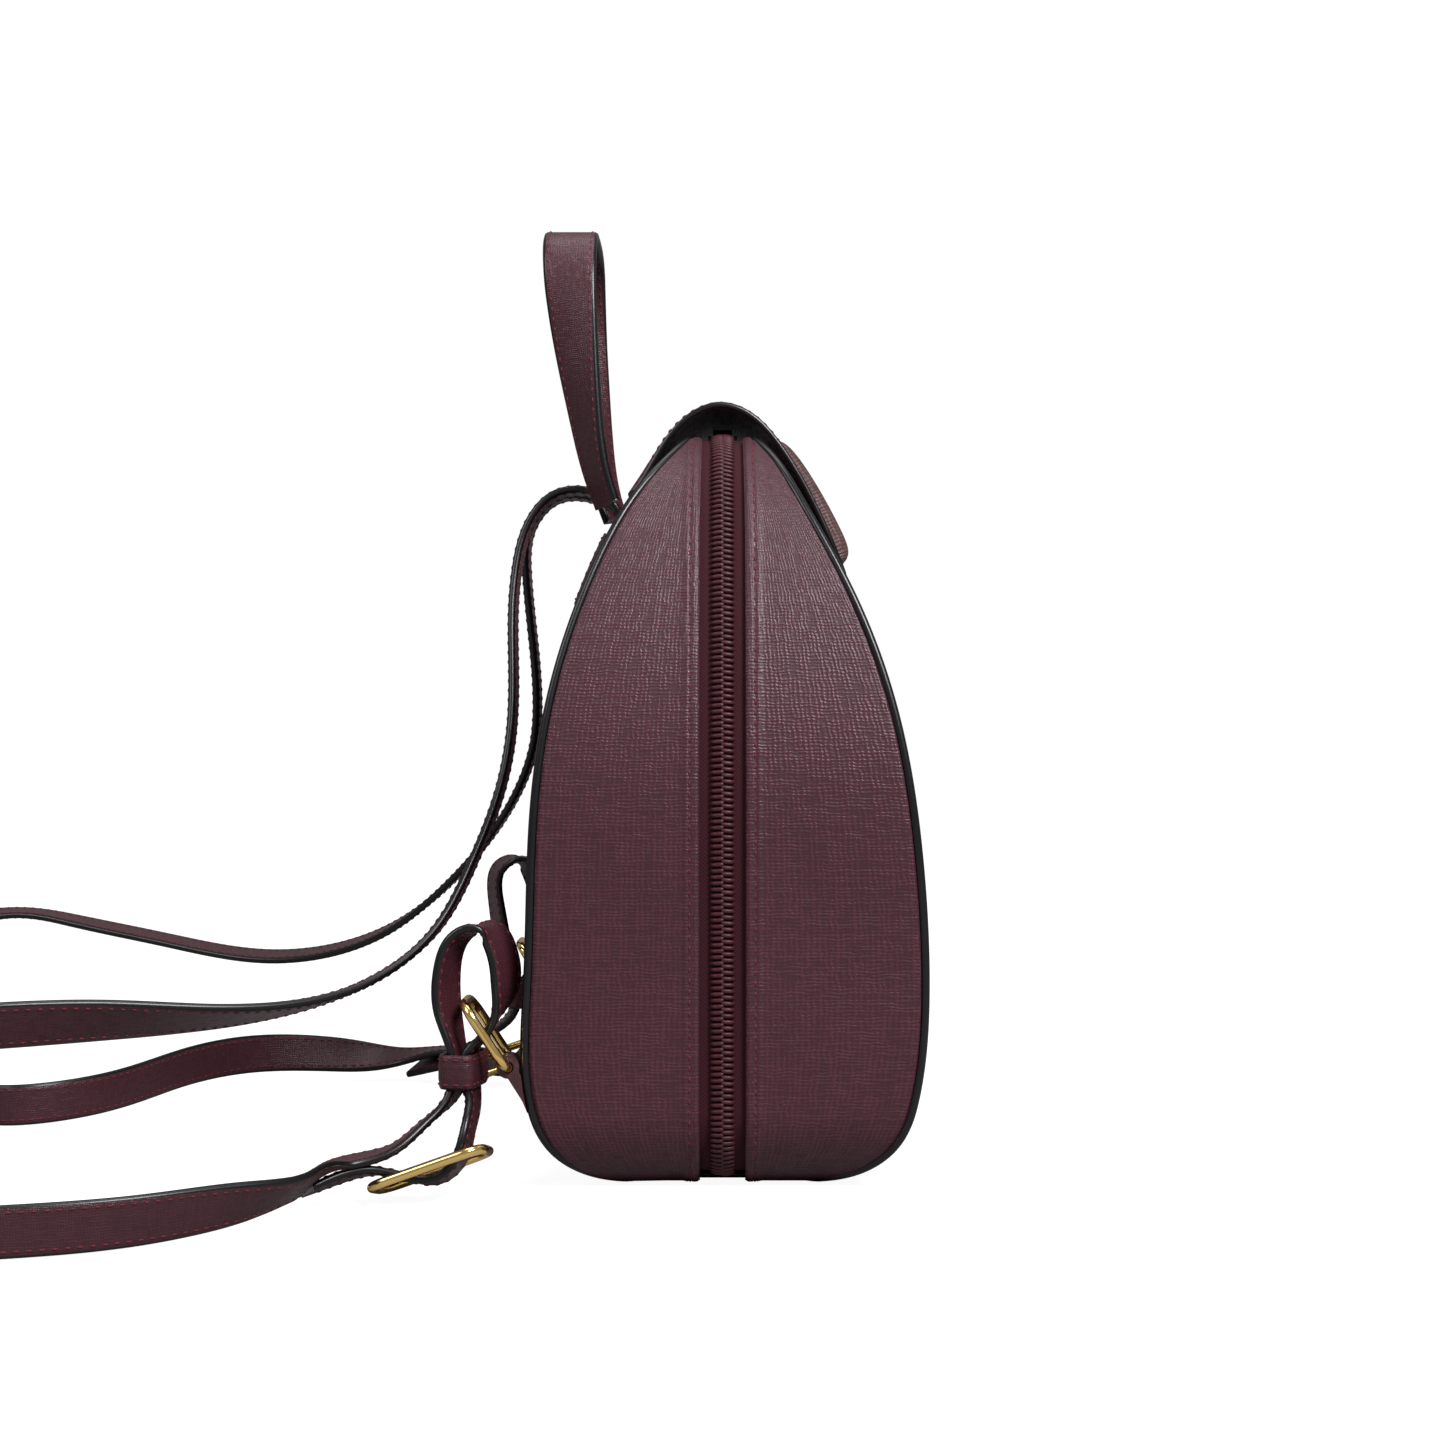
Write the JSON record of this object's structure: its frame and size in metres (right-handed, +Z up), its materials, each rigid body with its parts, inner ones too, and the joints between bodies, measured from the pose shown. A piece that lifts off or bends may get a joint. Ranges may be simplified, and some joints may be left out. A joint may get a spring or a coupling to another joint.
{
  "type": "leather backpack",
  "caption": "Small upright leather backpack with domed sides, a short front flap over a zipped opening, a top handle and two ring-adjusted shoulder straps.",
  "frame": {"origin": "centre of the flat base, on the surface the bag stands on", "axes": "+Z up, the flap and front face -Y, the straps and back face +Y, X across the width"},
  "size_m": [0.4263, 0.4856, 0.386],
  "materials": {
    "leather": "satin, fine cross-hatched grain",
    "edge_paint": "glossy black edge paint over folded leather",
    "zip_tape": "woven matt",
    "zip_coil": "semi-matt moulded coil",
    "lining_cloth": "plain woven matt",
    "stiffener_board": "matt fibre board",
    "gold_metal": "polished",
    "zip_lacquer": "glossy lacquer"
  },
  "bodies": {
    "rear_shell": {"back_panel": "leather", "base_panel": "leather", "rear_gusset_left": "leather", "rear_gusset_right": "leather", "rear_piping_left": "edge_paint", "rear_piping_right": "edge_paint", "rear_zip_tape": "zip_tape", "rear_zip_coil": "zip_coil", "back_lining": "lining_cloth", "back_stiffener": "stiffener_board", "base_board": "stiffener_board", "yoke": "leather", "handle_tab_left": "leather", "handle_tab_right": "leather", "shoulder_strap_left": "leather", "shoulder_strap_right": "leather", "strap_keeper_left": "leather", "strap_keeper_right": "leather", "anchor_tab_left": "leather", "anchor_tab_right": "leather"},
    "front_shell": {"front_panel": "leather", "front_gusset_left": "leather", "front_gusset_right": "leather", "front_piping_left": "edge_paint", "front_piping_right": "edge_paint", "front_zip_tape": "zip_tape", "front_zip_coil": "zip_coil", "front_lining": "lining_cloth", "snap_socket": "gold_metal"},
    "flap": {"flap": "leather", "flap_patch": "leather", "snap_stud": "gold_metal"},
    "handle": {"handle": "leather"},
    "zip_slider_left": {"zip_slider_left": "zip_lacquer"},
    "zip_pull_left": {"zip_pull_left": "zip_lacquer"},
    "adjuster_ring_left": {"adjuster_ring_left": "gold_metal"},
    "anchor_ring_left": {"anchor_ring_left": "gold_metal"},
    "zip_slider_right": {"zip_slider_right": "zip_lacquer"},
    "zip_pull_right": {"zip_pull_right": "zip_lacquer"},
    "adjuster_ring_right": {"adjuster_ring_right": "gold_metal"},
    "anchor_ring_right": {"anchor_ring_right": "gold_metal"}
  },
  "joints": [
    {"name": "flap_lift", "type": "hinge", "parent": "rear_shell", "child": "flap", "pos_m": [0, 0.0385, 0.2705], "axis": [-1, 0, 0], "range_deg": [0, 75]},
    {"name": "front_open", "type": "hinge", "parent": "rear_shell", "child": "front_shell", "pos_m": [0, -0.044, 0.004], "axis": [1, 0, 0], "range_deg": [0, 10.5]},
    {"name": "handle_tilt", "type": "hinge", "parent": "rear_shell", "child": "handle", "pos_m": [0, 0.046, 0.2675], "axis": [-1, 0, 0], "range_deg": [0, 63.75]},
    {"name": "zip_slide_left", "type": "slide", "parent": "rear_shell", "child": "zip_slider_left", "axis": [-1, 0, 0], "range_m": [0, 0.018]},
    {"name": "pull_lift_left", "type": "hinge", "parent": "zip_slider_left", "child": "zip_pull_left", "pos_m": [-0.0087, 0, 0.3008], "axis": [0, 1, 0], "range_deg": [0, 75]},
    {"name": "anchor_swing_left", "type": "hinge", "parent": "rear_shell", "child": "anchor_ring_left", "pos_m": [-0.119, 0.081, 0.0479], "axis": [1, 0, 0], "range_deg": [0, 8]},
    {"name": "adjuster_rock_left", "type": "hinge", "parent": "rear_shell", "child": "adjuster_ring_left", "pos_m": [-0.141, 0.108, 0.0126], "axis": [1, 0, 0], "range_deg": [-4, 4]},
    {"name": "zip_slide_right", "type": "slide", "parent": "rear_shell", "child": "zip_slider_right", "axis": [1, 0, 0], "range_m": [0, 0.018]},
    {"name": "pull_lift_right", "type": "hinge", "parent": "zip_slider_right", "child": "zip_pull_right", "pos_m": [0.0087, 0, 0.3008], "axis": [0, -1, 0], "range_deg": [0, 75]},
    {"name": "anchor_swing_right", "type": "hinge", "parent": "rear_shell", "child": "anchor_ring_right", "pos_m": [0.119, 0.081, 0.0479], "axis": [1, 0, 0], "range_deg": [0, 8]},
    {"name": "adjuster_rock_right", "type": "hinge", "parent": "rear_shell", "child": "adjuster_ring_right", "pos_m": [0.141, 0.108, 0.0126], "axis": [1, 0, 0], "range_deg": [-4, 4]}
  ],
  "couplings": [
    {"joint": "front_open", "follows": "flap_lift", "ratio": 0.14},
    {"joint": "handle_tilt", "follows": "flap_lift", "ratio": 0.85},
    {"joint": "pull_lift_left", "follows": "flap_lift", "ratio": 1},
    {"joint": "pull_lift_right", "follows": "flap_lift", "ratio": 1}
  ]
}
